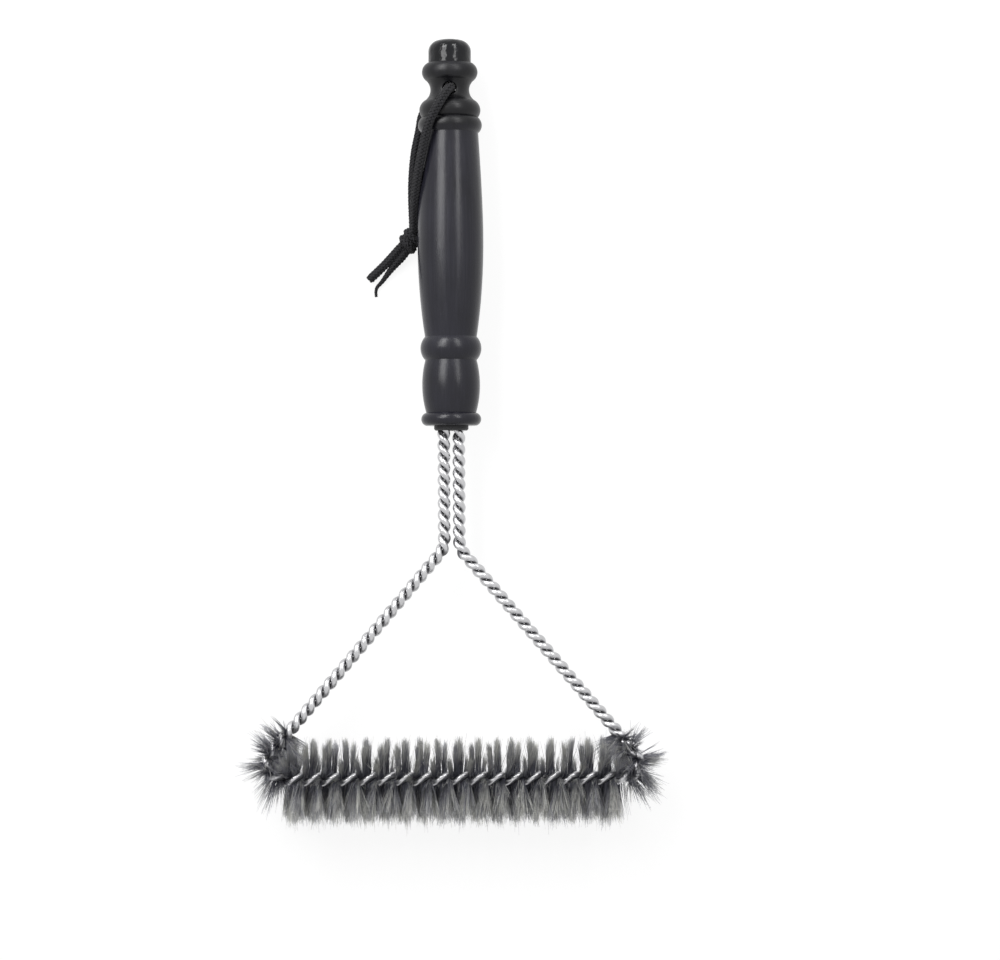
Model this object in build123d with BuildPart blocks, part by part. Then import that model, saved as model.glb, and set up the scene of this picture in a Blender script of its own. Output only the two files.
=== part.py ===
"""Twisted-wire grill brush with a turned plastic handle and a cord lanyard, in millimetres.

The brush is built in its own plane: the axis of the bristle head lies on X, the handle runs up +Y and the
wire triangle lies in z = 0. The finished tool is then laid down on the surface z = 0, where it rests on its
bristles and on the widest bead of the handle. The lanyard is laid beside it in that resting frame.
"""
from build123d import *
import math
import os

# ---------------------------------------------------------------------------------------------------------
# Driving dimensions
# ---------------------------------------------------------------------------------------------------------

# Wire core: two strands twisted into a left-handed rope and bent to a triangle with two parallel stems
wire_diameter = 2.4
strand_gap = 0.14                 # air between the strands of a stem or an arm
bristle_layer = 0.6               # room between the strands of the head, where the bristles are clamped
stem_pitch = 8.9                  # one full twist along a stem or an arm
head_pitch = 14.06                # one full twist along the head
pitch_blend = 22.0                # length over which the twist tightens, from the head into the arm
head_half_width = 78.2            # from the middle of the head to the sharp corner of the triangle
triangle_height = 88.3            # from the head's axis to the sharp corner at the top of the arms
stem_spacing = 5.75
corner_bend = 6.0                 # bend radii of the rope's centre line
apex_bend = 8.0
strand_corners = 5                # straight runs in one turn of a strand
corner_share = 0.48               # share of a run that each of its two arcs takes
tuft_offset = 2.13                # place along the head where the bristles lie in the wire plane
wire_tail = 3.0                   # wire beyond the plug's inner end

# Bristles of the straight head: double-ended tufts, clamped at their middles and joined there by a spine
bristle_reach = 16.0              # from the head's axis to the bristle tips
head_tufts_per_turn = 12
head_tuft_middle_length = 0.7     # along the head
head_tuft_middle_thickness = 0.46
head_tuft_tip_length = 5.2        # along the twist
head_tuft_tip_thickness = 1.5
head_tuft_slant = 4.0             # degrees, the most that a tuft slants along the head
head_slant_step = 137.5           # degrees of slant phase from one tuft to the next
head_end_gap = 0.4
spine_radius = 0.18

# Bristles of the corners
tuft_root = 1.35                  # from the rope's centre line to the root of a corner tuft
tuft_arm_length = 9.0             # stretch of the arm that still carries tufts
tuft_root_width = 0.6
tuft_tip_width = 2.0
tuft_corner_reach = 11.0          # tip distance from the rope where the corner tufts are shortest
tuft_inward_limit = 0.35          # tufts that lean further into the triangle are left out

# Handle: sections from the mouth up, each with its length and the radius at its crest
mouth_height = 135.4              # from the head's axis to the handle's mouth
flange_length = 4.9
flange_radius = 11.5
barrel_length = 20.2
barrel_radius = 11.1
lower_bead_length = 9.0
lower_bead_radius = 11.7
grip_length = 78.3
grip_low_radius = 11.5
grip_swell_radius = 12.65
grip_high_radius = 11.95
shoulder_bead_length = 6.0
shoulder_bead_radius = 12.26
middle_bead_length = 6.6
middle_bead_radius = 11.7
neck_length = 7.6
neck_radius = 7.47
top_bead_length = 6.5
top_bead_radius = 10.7

# Handle: radii where two sections meet
mouth_rim_radius = 9.9
flange_groove_radius = 9.6
barrel_groove_radius = 9.9
grip_foot_radius = 9.95
grip_top_radius = 10.85
bead_groove_radius = 10.75
neck_foot_radius = 9.4
neck_top_radius = 9.0
cap_seat_radius = 8.9

# Handle: places of the grip's own shape, as shares of its length
grip_low_place = 0.157
grip_swell_place = 0.48
grip_high_place = 0.764

# Inside the handle
socket_radius = 6.65
socket_length = 26.0
core_radius = 5.8
core_length = 70.0                # beyond the socket
hang_hole_radius = 2.4
hang_hole_edge = 0.5

# Plug in the mouth
plug_fit = 0.05
plug_collar = 1.9                 # how far the plug stands out of the mouth
plug_edge = 0.5
wire_bore_gap = 0.09

# End cap
cap_radius = 8.2
cap_side = 4.6                    # straight side, below the rounded edge
cap_edge = 4.4
cap_crown_slope = 14.0            # degrees, where the rounded edge runs into the crown
spigot_radius = 5.0
spigot_length = 4.0
spigot_fit = 0.05
spigot_end_gap = 0.4

# Lanyard, in the resting frame
cord_diameter = 3.2
tail_tip_diameter = 2.4
bend_share = 0.45
knot_length = 9.6
knot_radius = 4.2
knot_centre = (-15.3, 73.0, 4.25)
knot_direction = (-0.43, -0.9, 0.0)

front_route = [
    (0.0, 130.2, 12.1),
    (0.0, 130.3, 23.1),
    (-4.3, 123.2, 25.6),
    (-8.3, 116.5, 24.3),
    (-10.4, 108.4, 21.6),
    (-12.6, 97.7, 19.1),
    (-14.1, 87.0, 14.2),
    (-14.8, 79.5, 9.9),
    (-15.1, 75.6, 7.0),
]
rear_route = [
    (0.0, 130.2, 12.1),
    (0.0, 130.1, 1.75),
    (-6.5, 127.0, 1.65),
    (-9.9, 122.4, 1.65),
    (-10.5, 115.8, 1.65),
    (-12.2, 107.6, 1.65),
    (-13.9, 97.2, 1.65),
    (-14.2, 87.2, 1.75),
    (-14.5, 79.2, 2.4),
    (-14.9, 76.0, 3.4),
]
long_tail_route = [
    (-18.3, 72.3, 3.3),
    (-20.6, 69.9, 2.1),
    (-23.1, 66.6, 1.65),
    (-26.3, 62.1, 1.65),
    (-31.2, 57.7, 1.65),
]
short_tail_route = [
    (-16.4, 69.9, 2.9),
    (-19.3, 65.8, 1.6),
    (-23.0, 61.6, 1.25),
    (-25.8, 57.3, 1.25),
    (-28.4, 54.2, 1.25),
    (-28.6, 51.0, 1.25),
]

# ---------------------------------------------------------------------------------------------------------
# Sizes that follow
# ---------------------------------------------------------------------------------------------------------

full_turn = 360.0
quarter_turn = full_turn / 4

stem_radius = (wire_diameter + strand_gap) / 2
head_radius = (wire_diameter + bristle_layer) / 2
stem_envelope = stem_radius + wire_diameter / 2

flange_top = mouth_height + flange_length
barrel_top = flange_top + barrel_length
lower_bead_top = barrel_top + lower_bead_length
grip_top = lower_bead_top + grip_length
shoulder_top = grip_top + shoulder_bead_length
middle_bead_top = shoulder_top + middle_bead_length
neck_top = middle_bead_top + neck_length
handle_top = neck_top + top_bead_length
hang_height = middle_bead_top + neck_length / 2
shoulder_height = grip_top + shoulder_bead_length / 2
plug_top = mouth_height + socket_length

cap_slope = math.radians(cap_crown_slope)
cap_edge_turn = quarter_turn - cap_crown_slope
cap_crown_radius = (cap_radius - cap_edge) / math.sin(cap_slope) + cap_edge
cap_height = cap_side + cap_edge * math.cos(cap_slope) + cap_crown_radius * (1 - math.cos(cap_slope))
brush_top = handle_top + cap_height

lie_angle = math.degrees(math.asin((bristle_reach - shoulder_bead_radius) / shoulder_height))
lie_shift = (brush_top - bristle_reach) / 2
lying = Pos(0, -lie_shift, bristle_reach) * Rot(-lie_angle, 0, 0)

across_y = Plane(origin=(0, 0, 0), x_dir=(1, 0, 0), z_dir=(0, 1, 0))

# ---------------------------------------------------------------------------------------------------------
# Routes
# ---------------------------------------------------------------------------------------------------------


def arc_radii(points, share):
    """Radius of the arc at each inner point, so that it takes the given share of its shorter run."""
    radii = []
    for before, corner, after in zip(points, points[1:], points[2:]):
        arriving = Vector(*corner) - Vector(*before)
        leaving = Vector(*after) - Vector(*corner)
        turn = math.radians(arriving.get_angle(leaving))
        radii.append(share * min(arriving.length, leaving.length) / math.tan(turn / 2))
    return radii


with BuildLine() as core_half:
    FilletPolyline(
        (0, 0),
        (head_half_width, 0),
        (stem_spacing / 2, triangle_height),
        (stem_spacing / 2, plug_top + wire_tail),
        radius=[corner_bend, apex_bend],
    )
core_line = core_half.wire()
head_straight = core_half.edges().sort_by_distance((0, 0, 0))[0].length


def rope_at(distance):
    """Centre, direction, outward side, pitch and strand radius of the rope's right half."""
    centre = core_line.position_at(distance, PositionMode.LENGTH)
    along = core_line.tangent_at(distance, PositionMode.LENGTH)
    side = Vector(along.Y, -along.X, 0)
    blend = min(max((distance - head_straight) / pitch_blend, 0), 1)
    pitch = head_pitch + (stem_pitch - head_pitch) * blend
    radius = head_radius + (stem_radius - head_radius) * blend
    return centre, along, side, pitch, radius


def twist_steps():
    """Distance along the right half of the core and angle turned so far, at each corner of a strand."""
    steps = []
    step_angle = full_turn / strand_corners
    distance = head_pitch / strand_corners / 2
    turned = step_angle / 2
    while distance < core_line.length:
        steps.append((distance, turned))
        centre, along, side, pitch, radius = rope_at(distance)
        distance += pitch / strand_corners
        turned += step_angle
    return steps


def wind(start_angle, hand):
    """Corner points of one strand along the right half of the core, from the middle of the head up."""
    points = []
    stretch = 1 / math.cos(math.pi / strand_corners)
    for distance, turned in twist_steps():
        centre, along, side, pitch, radius = rope_at(distance)
        angle = math.radians(start_angle + hand * turned)
        outward = side * math.cos(angle) + Vector(0, 0, math.sin(angle))
        points.append(centre + outward * radius * stretch)
    return points


def strand_route(start_angle):
    """Corner points of one whole strand, from the left stem round the head to the right stem."""
    right = wind(start_angle, 1)
    left = [Vector(-point.X, point.Y, point.Z) for point in wind(start_angle, -1)]
    return left[::-1] + right


def strand_line(points):
    """Straight runs joined by tangent arcs, laid one turn at a time from run middle to run middle."""
    middles = [(start + end) / 2 for start, end in zip(points, points[1:])]
    with BuildLine() as line:
        first = 0
        while first < len(middles) - 1:
            last = min(first + strand_corners, len(middles) - 1)
            turn = points[first + 1 : last + 1]
            radii = arc_radii([points[first], *turn, points[last + 1]], corner_share)
            FilletPolyline(middles[first], *turn, middles[last], radius=radii)
            first = last
    return line.wire()


# At the tuft offset the bristles lie in the wire plane and the strands stand one above the other
strand_angle = quarter_turn - full_turn * tuft_offset / head_pitch

# ---------------------------------------------------------------------------------------------------------
# Wire core
# ---------------------------------------------------------------------------------------------------------

strand_a_line = strand_line(strand_route(strand_angle))

with BuildPart() as core_wire_a:
    with BuildSketch(Plane(origin=strand_a_line @ 0, z_dir=strand_a_line % 0)):
        Circle(wire_diameter / 2)
    sweep(path=strand_a_line)
core_wire_a.part.label = "core_wire_a"

strand_b_line = strand_line(strand_route(strand_angle + full_turn / 2))

with BuildPart() as core_wire_b:
    with BuildSketch(Plane(origin=strand_b_line @ 0, z_dir=strand_b_line % 0)):
        Circle(wire_diameter / 2)
    sweep(path=strand_b_line)
core_wire_b.part.label = "core_wire_b"

# ---------------------------------------------------------------------------------------------------------
# Bristles
# ---------------------------------------------------------------------------------------------------------

# Straight head: tufts that turn with the twist, each slanted a little in its own way
head_tuft_spacing = head_pitch / head_tufts_per_turn
head_tuft_turn = math.degrees(math.atan2(math.tau * bristle_reach, head_pitch))
head_slant = math.radians(head_tuft_slant)
tip_along = head_tuft_tip_length * math.cos(math.radians(head_tuft_turn))
tip_across = head_tuft_tip_thickness * math.sin(math.radians(head_tuft_turn))
# The lowest corner of a slanted tip reaches the surface that the tool lies on
tip_slant_drop = (tip_along + tip_across) / 2 * math.sin(head_slant)
tip_lie_drop = head_tuft_tip_length / 2 * math.sin(math.radians(lie_angle))
head_tip_reach = (bristle_reach - tip_slant_drop - tip_lie_drop) / math.cos(head_slant)

with BuildPart() as head_tuft:
    with BuildSketch(across_y.offset(-head_tip_reach)):
        Rectangle(head_tuft_tip_length, head_tuft_tip_thickness, rotation=-head_tuft_turn)
    with BuildSketch(across_y):
        Rectangle(head_tuft_middle_length, head_tuft_middle_thickness)
    with BuildSketch(across_y.offset(head_tip_reach)):
        Rectangle(head_tuft_tip_length, head_tuft_tip_thickness, rotation=head_tuft_turn)
    loft(ruled=True)

head_room = head_straight - head_end_gap - head_tuft_spacing
first_tuft = math.ceil(-(head_room + tuft_offset) / head_tuft_spacing)
last_tuft = math.floor((head_room - tuft_offset) / head_tuft_spacing)
head_places = []
for number in range(first_tuft, last_tuft + 1):
    place = Pos(tuft_offset + number * head_tuft_spacing, 0, 0)
    turned = Rot(-full_turn * number / head_tufts_per_turn, 0, 0)
    slanted = Rot(0, 0, head_tuft_slant * math.sin(math.radians(head_slant_step * number)))
    head_places.append(place * turned * slanted)

with BuildPart() as bristle_strip:
    with Locations(Rot(0, quarter_turn, 0)):
        Cylinder(spine_radius, 2 * head_room)
    with Locations(*head_places):
        add(head_tuft.part)
bristle_strip.part.label = "bristle_strip"


# Corners: separate tufts that stand out from between the strands, turning with the twist
def corner_tufts(hand):
    """Root plane and length of each tuft round the right corner and up the foot of the arm."""
    corner_arc = core_half.edges().filter_by(GeomType.CIRCLE).sort_by(Axis.Y)[0]
    last_distance = head_straight + corner_arc.length + tuft_arm_length
    tufts = []
    for distance, turned in twist_steps():
        if not head_straight < distance < last_distance:
            continue
        centre, along, side, pitch, radius = rope_at(distance)
        for turn in (quarter_turn, -quarter_turn):
            angle = math.radians(strand_angle + hand * turned + turn)
            direction = side * math.cos(angle) + Vector(0, 0, math.sin(angle))
            if math.cos(angle) < -tuft_inward_limit:
                continue
            shortening = min(1 + direction.Y, 1)
            reach = bristle_reach + (tuft_corner_reach - bristle_reach) * shortening
            root_plane = Plane(origin=centre + direction * tuft_root, x_dir=along, z_dir=direction)
            tufts.append((root_plane, reach - tuft_root))
    return tufts


with BuildPart() as bristle_fan_right:
    for root_plane, tuft_length in corner_tufts(1):
        with BuildSketch(root_plane):
            Rectangle(tuft_root_width, tuft_root_width)
        with BuildSketch(root_plane.offset(tuft_length)):
            Rectangle(tuft_tip_width, tuft_tip_width)
        loft()
bristle_fan_right.part.label = "bristle_fan_right"

# The left corner is wound the other way in its mirror image
with BuildPart() as bristle_fan_left:
    for root_plane, tuft_length in corner_tufts(-1):
        with BuildSketch(root_plane):
            Rectangle(tuft_root_width, tuft_root_width)
        with BuildSketch(root_plane.offset(tuft_length)):
            Rectangle(tuft_tip_width, tuft_tip_width)
        loft()
    mirror(about=Plane.YZ, mode=Mode.REPLACE)
bristle_fan_left.part.label = "bristle_fan_left"

# ---------------------------------------------------------------------------------------------------------
# Handle, plug and cap
# ---------------------------------------------------------------------------------------------------------


def swell(foot_radius, crest_radius, top_radius, foot, top):
    """Arc of a bead or a waist, with its crest midway."""
    ThreePointArc((foot_radius, foot), (crest_radius, (foot + top) / 2), (top_radius, top))


with BuildPart() as handle_grip:
    with BuildSketch(Plane.XY):
        with BuildLine():
            Line((0, mouth_height), (mouth_rim_radius, mouth_height))
            swell(mouth_rim_radius, flange_radius, flange_groove_radius, mouth_height, flange_top)
            swell(flange_groove_radius, barrel_radius, barrel_groove_radius, flange_top, barrel_top)
            swell(barrel_groove_radius, lower_bead_radius, grip_foot_radius, barrel_top, lower_bead_top)
            Spline(
                (grip_foot_radius, lower_bead_top),
                (grip_low_radius, lower_bead_top + grip_low_place * grip_length),
                (grip_swell_radius, lower_bead_top + grip_swell_place * grip_length),
                (grip_high_radius, lower_bead_top + grip_high_place * grip_length),
                (grip_top_radius, grip_top),
            )
            swell(grip_top_radius, shoulder_bead_radius, bead_groove_radius, grip_top, shoulder_top)
            swell(bead_groove_radius, middle_bead_radius, neck_foot_radius, shoulder_top, middle_bead_top)
            swell(neck_foot_radius, neck_radius, neck_top_radius, middle_bead_top, neck_top)
            swell(neck_top_radius, top_bead_radius, cap_seat_radius, neck_top, handle_top)
            Line((cap_seat_radius, handle_top), (0, handle_top))
            Line((0, handle_top), (0, mouth_height))
        make_face()
    revolve(axis=Axis.Y)
    # Socket for the plug, and the narrower core behind it that the plug bottoms on
    with BuildSketch(across_y.offset(mouth_height)):
        Circle(socket_radius)
    extrude(amount=socket_length, mode=Mode.SUBTRACT)
    with BuildSketch(across_y.offset(plug_top)):
        Circle(core_radius)
    extrude(amount=core_length, mode=Mode.SUBTRACT)
    # Blind socket for the cap's spigot
    with BuildSketch(across_y.offset(handle_top)):
        Circle(spigot_radius + spigot_fit)
    extrude(amount=-(spigot_length + spigot_end_gap), mode=Mode.SUBTRACT)
    # Cord hole through the neck, with rounded mouths
    with Locations((0, hang_height, 0)):
        Hole(hang_hole_radius)
    fillet(handle_grip.edges(Select.LAST).filter_by(GeomType.LINE, reverse=True), hang_hole_edge)
handle_grip.part.label = "handle_grip"

with BuildPart() as socket_plug:
    with BuildSketch(across_y.offset(mouth_height - plug_collar)):
        Circle(socket_radius - plug_fit)
        with Locations((-stem_spacing / 2, 0), (stem_spacing / 2, 0)):
            Circle(stem_envelope + wire_bore_gap, mode=Mode.SUBTRACT)
    extrude(amount=plug_collar + socket_length)
    rims = socket_plug.edges().filter_by(GeomType.CIRCLE).group_by(SortBy.RADIUS)[-1]
    chamfer(rims, plug_edge)
socket_plug.part.label = "socket_plug"

with BuildPart() as end_cap:
    with BuildSketch(Plane.XY):
        with BuildLine():
            Polyline(
                (0, handle_top - spigot_length),
                (spigot_radius, handle_top - spigot_length),
                (spigot_radius, handle_top),
                (cap_radius, handle_top),
                (cap_radius, handle_top + cap_side),
            )
            edge = JernArc((cap_radius, handle_top + cap_side), (0, 1), cap_edge, cap_edge_turn)
            crown = JernArc(edge @ 1, edge % 1, cap_crown_radius, cap_crown_slope)
            Line(crown @ 1, (0, handle_top - spigot_length))
        make_face()
    revolve(axis=Axis.Y)
end_cap.part.label = "end_cap"

# ---------------------------------------------------------------------------------------------------------
# Lay the tool down: its bristles and its shoulder bead touch the surface
# ---------------------------------------------------------------------------------------------------------

tool_pieces = (
    handle_grip,
    end_cap,
    socket_plug,
    core_wire_a,
    core_wire_b,
    bristle_strip,
    bristle_fan_left,
    bristle_fan_right,
)
for piece in tool_pieces:
    piece.part.move(lying)

# ---------------------------------------------------------------------------------------------------------
# Lanyard
# ---------------------------------------------------------------------------------------------------------


def cord_line(name, points):
    """Straight runs joined by arcs as large as the runs allow."""
    radii = arc_radii(points, bend_share)
    print(name, "arc radii:", " ".join(f"{radius:.1f}" for radius in radii))
    with BuildLine() as line:
        FilletPolyline(*points, radius=radii)
    return line.wire()


front_line = cord_line("lanyard_front", front_route)
rear_line = cord_line("lanyard_rear", rear_route)
long_tail_line = cord_line("lanyard_tail_long", long_tail_route)
short_tail_line = cord_line("lanyard_tail_short", short_tail_route)

with BuildPart() as lanyard_front:
    with BuildSketch(Plane(origin=front_line @ 0, z_dir=front_line % 0)):
        Circle(cord_diameter / 2)
    sweep(path=front_line)
lanyard_front.part.label = "lanyard_front"

with BuildPart() as lanyard_rear:
    with BuildSketch(Plane(origin=rear_line @ 0, z_dir=rear_line % 0)):
        Circle(cord_diameter / 2)
    sweep(path=rear_line)
lanyard_rear.part.label = "lanyard_rear"

with BuildPart() as lanyard_tail_long:
    with BuildSketch(Plane(origin=long_tail_line @ 0, z_dir=long_tail_line % 0)):
        Circle(cord_diameter / 2)
    sweep(path=long_tail_line)
lanyard_tail_long.part.label = "lanyard_tail_long"

with BuildPart() as lanyard_tail_short:
    with BuildSketch(Plane(origin=short_tail_line @ 0, z_dir=short_tail_line % 0)):
        Circle(tail_tip_diameter / 2)
    sweep(path=short_tail_line)
lanyard_tail_short.part.label = "lanyard_tail_short"

knot_plane = Plane(origin=knot_centre, x_dir=knot_direction, z_dir=(0, 0, 1))

with BuildPart() as lanyard_knot:
    with BuildSketch(knot_plane):
        Ellipse(knot_length / 2, knot_radius)
        with Locations((0, -knot_radius)):
            Rectangle(2 * knot_length, 2 * knot_radius, mode=Mode.SUBTRACT)
    revolve(axis=Axis(knot_centre, knot_direction))
lanyard_knot.part.label = "lanyard_knot"

# ---------------------------------------------------------------------------------------------------------
# Export
# ---------------------------------------------------------------------------------------------------------

lanyard_pieces = (lanyard_front, lanyard_rear, lanyard_knot, lanyard_tail_long, lanyard_tail_short)

os.makedirs("parts", exist_ok=True)
for piece in tool_pieces + lanyard_pieces:
    export_step(piece.part, f"parts/{piece.part.label}.step")
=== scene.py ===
"""Looks of a twisted-wire grill brush: plastic handle, steel core and bristles, and a braided lanyard."""

import math
import random

import bmesh
import bpy
from mathutils import Matrix, Vector


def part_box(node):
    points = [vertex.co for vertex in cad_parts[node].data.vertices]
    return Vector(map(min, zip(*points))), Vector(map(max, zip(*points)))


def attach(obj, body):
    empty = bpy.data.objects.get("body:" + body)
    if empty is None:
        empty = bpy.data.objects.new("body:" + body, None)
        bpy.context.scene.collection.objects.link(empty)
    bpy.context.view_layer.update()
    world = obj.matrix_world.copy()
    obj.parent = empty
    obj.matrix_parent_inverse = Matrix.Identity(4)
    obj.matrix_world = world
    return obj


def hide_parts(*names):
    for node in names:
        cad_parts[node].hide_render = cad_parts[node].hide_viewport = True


bl_info = {
    "name": "Grill Brush",
    "version": (1, 0, 0),
    "blender": (4, 5, 0),
    "location": "View3D > Sidebar > Grill Brush",
    "description": "Dresses the wire grill brush in its finishes, bristles and lanyard",
    "category": "Object",
}

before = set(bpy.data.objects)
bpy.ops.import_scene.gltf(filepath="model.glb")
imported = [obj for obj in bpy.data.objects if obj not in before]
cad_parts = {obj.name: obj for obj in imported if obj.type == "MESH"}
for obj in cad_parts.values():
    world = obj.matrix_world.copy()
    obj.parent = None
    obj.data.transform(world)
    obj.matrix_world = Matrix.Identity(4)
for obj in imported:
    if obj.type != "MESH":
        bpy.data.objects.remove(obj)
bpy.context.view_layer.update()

BODY = "brush"
UP = Vector((0.0, 0.0, 1.0))
WHITE = (1.0, 1.0, 1.0, 1.0)
BLACK = (0.0, 0.0, 0.0, 1.0)

# Wire core, as the solids have it
HEAD_HALF_WIDTH = 0.0782
TRIANGLE_HEIGHT = 0.0883
STEM_SPACING = 0.00575
CORNER_BEND = 0.006
HEAD_PITCH = 0.01406
STEM_PITCH = 0.0089
PITCH_BLEND = 0.022
TUFT_OFFSET = 0.00213
STRAND_CORNERS = 5
LIE_ANGLE = math.radians(0.854442)

# Bristles, as the solids have them
BRISTLE_REACH = 0.016
CORNER_REACH = 0.011
HEAD_TUFTS_PER_TURN = 12
HEAD_TUFT_TIP_LENGTH = 0.0052
HEAD_TUFT_TIP_THICKNESS = 0.0015
HEAD_TUFT_SLANT = math.radians(4.0)
HEAD_SLANT_STEP = math.radians(137.5)
HEAD_END_GAP = 0.0004
HEAD_TUFT_SPACING = HEAD_PITCH / HEAD_TUFTS_PER_TURN

head_low, head_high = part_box("bristle_strip")
HEAD_CENTRE = Vector((0.0, (head_low.y + head_high.y) / 2, BRISTLE_REACH))
LYING = Matrix.Translation(HEAD_CENTRE) @ Matrix.Rotation(-LIE_ANGLE, 4, "X")
CORNER_TURN = math.atan2(TRIANGLE_HEIGHT, STEM_SPACING / 2 - HEAD_HALF_WIDTH)
HEAD_STRAIGHT = HEAD_HALF_WIDTH - CORNER_BEND * math.tan(CORNER_TURN / 2)

# Lanyard routes, from the middle of the neck's hole
CORD_EXIT = (0.0, 0.1302, 0.0121)
FRONT_ROUTE = (
    CORD_EXIT,
    (0.0006, 0.1303, 0.0181),
    (0.0, 0.1303, 0.0231),
    (-0.0043, 0.1232, 0.0256),
    (-0.0080, 0.1165, 0.0243),
    (-0.0100, 0.1084, 0.0216),
    (-0.0122, 0.0977, 0.0191),
    (-0.0137, 0.0870, 0.0138),
    (-0.0138, 0.0795, 0.0089),
    (-0.0143, 0.0760, 0.0064),
    (-0.0178, 0.0722, 0.0036),
    (-0.0204, 0.0697, 0.0022),
    (-0.0231, 0.0667, 0.00175),
    (-0.0263, 0.0632, 0.00175),
    (-0.0319, 0.0580, 0.00175),
)
REAR_ROUTE = (
    CORD_EXIT,
    (0.0007, 0.1304, 0.0075),
    (0.0, 0.1301, 0.00175),
    (-0.0071, 0.1270, 0.00175),
    (-0.0110, 0.1224, 0.00175),
    (-0.0119, 0.1158, 0.00175),
    (-0.0138, 0.1076, 0.00175),
    (-0.0148, 0.0972, 0.00175),
    (-0.0148, 0.0872, 0.00175),
    (-0.0144, 0.0792, 0.0024),
    (-0.0145, 0.0750, 0.0034),
    (-0.0166, 0.0700, 0.0030),
    (-0.0187, 0.0674, 0.0020),
    (-0.0213, 0.0645, 0.0017),
    (-0.0242, 0.0610, 0.0015),
    (-0.0268, 0.0573, 0.0012),
    (-0.0296, 0.0546, 0.0011),
    (-0.0290, 0.0516, 0.0011),
)

# The cord's ends: the thick tail is cut off round, and the thin one frays away
BLUNT_END_RUN = 0.0015
BLUNT_END_LOSS = 0.25  # share of the width
FRAYED_END_RUN = 0.018
FRAYED_END_WIDTH = 0.33  # share of the width that is left
FRAYED_END_CURVE = 1.4

# The knot's turns, which wind along its axis
KNOT_CENTRE = Vector((-0.0156, 0.0734, 0.00438))
KNOT_AXIS = Vector((-0.56, -0.83, 0.0)).normalized()
KNOT_TURNS = 3.1
KNOT_START_ANGLE = -0.6
KNOT_RUN = 0.0092
KNOT_SHARE_BEHIND = 0.56  # of the run, behind the centre
KNOT_END_RADIUS = 0.35  # share of the winding, where the ends are drawn inside
KNOT_START_SWELL = 0.25  # how far the turns have swelled at their start, and how fast they swell and shrink
KNOT_SWELLING = 2.0
KNOT_SHRINKING = 7.0
KNOT_POINTS = 36
KNOT_RESOLUTION = 8

# The braid's threads and the core inside them
POINTS_PER_BUMP = 6
WEAVE_DEPTH = 0.28  # rise and fall of a thread, as a share of its thickness
SET_OFFSET = 0.25  # how far one set of threads starts from the other, as a share of their spacing
THREAD_TONES = (0.75, 1.25)
CORE_WIDTH = 1.75  # over the threads' winding radius
CORE_TONE = 0.6
FIBRES_ROUND_THREAD = 9
FIBRE_LAY = 1500.0  # radians along a thread's whole length

# The handle's far end, which is darker and takes its own roughness
DARK_END_START = 0.1135
DARK_END_FULL = 0.1175

# Distances from the core's centre line up to which the strands carry painted shade, and from which they show
# their plain steel
HOLLOW_RADIUS = 0.0008
CROWN_RADIUS = 0.0020

# Camera
IMAGE_WIDTH = 1000
PIXELS_PER_METRE = 2610.0  # at the height of the head's centre
SENSOR_WIDTH = 36.0
CAMERA_ACROSS = 0.0186
CAMERA_ALONG = -0.0196
CAMERA_TURN = math.radians(-0.27)
CLIP_START = 0.1
CLIP_END = 10.0

# Floor and surroundings
FLOOR_HALF_SIDE = 2.5
FLOOR_SQUARES = 8
FLOOR_GLOW = 0.88  # where it is seen, besides what falls on it
SKY_SEEN = 1.0
SKY_LIGHT = 0.5  # what it sheds on the brush

# Lamps: side, tilt from the vertical and width, then stretch along the brush, start, length and radiance
LAMP_DISTANCE = 0.8
LAMP_SIDES = (("left", math.radians(-33.0), 0.34), ("right", math.radians(29.5), 0.14))
LAMP_STRETCHES = (("near", 0.13, 0.40, 7.5), ("far", 0.53, 0.90, 12.0))


# ---------------------------------------------------------------------------------------------------------
# Shader helpers
# ---------------------------------------------------------------------------------------------------------

# A Mix node's colour sockets, whose names are shared with its other kinds
MIX_FACTOR = 0
MIX_FIRST_COLOUR = 6
MIX_SECOND_COLOUR = 7
MIX_COLOUR = 2


class Socket:
    """A shader value that Python arithmetic works on: each operator adds one Math node."""

    def __init__(self, finish, socket):
        self.finish = finish
        self.socket = socket

    def beside(self, key):
        """Another output of the same node."""
        return Socket(self.finish, self.socket.node.outputs[key])

    def math(self, operation, *others):
        return self.finish.math(operation, self, *others)

    def __add__(self, other):
        return self.math("ADD", other)

    def __sub__(self, other):
        return self.math("SUBTRACT", other)

    def __mul__(self, other):
        return self.math("MULTIPLY", other)

    def __pow__(self, other):
        return self.math("POWER", other)

    def __rsub__(self, other):
        return self.finish.math("SUBTRACT", other, self)

    def __abs__(self):
        return self.math("ABSOLUTE")

    __radd__ = __add__
    __rmul__ = __mul__


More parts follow.
